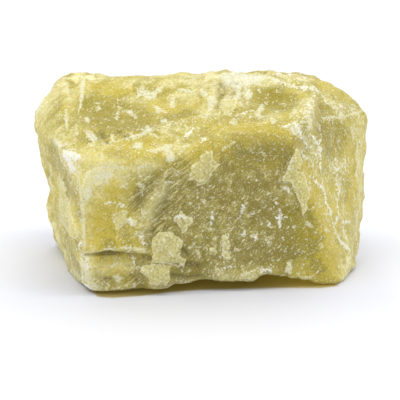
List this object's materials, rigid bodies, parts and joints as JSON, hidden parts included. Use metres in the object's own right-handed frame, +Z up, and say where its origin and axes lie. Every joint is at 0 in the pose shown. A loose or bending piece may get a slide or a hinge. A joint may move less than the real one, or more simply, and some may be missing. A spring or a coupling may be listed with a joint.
{
  "type": "raw jadeite stone",
  "caption": "Rough chunk of raw yellow-green jadeite, split along its fracture planes, lying on its flattest side.",
  "frame": {"origin": "centre of the stone's box in plan, on the surface that it lies on", "axes": "+X along the stone's length, -Y towards its broad front face, +Z up"},
  "size_m": [0.0534, 0.0296, 0.0297],
  "materials": {
    "raw_jadeite": "waxy, slightly translucent broken stone, olive to yellow with pale bruised patches, white-frosted edges and fine white flecks"
  },
  "bodies": {
    "root": {"jadeite_stone": "raw_jadeite"}
  },
  "joints": []
}
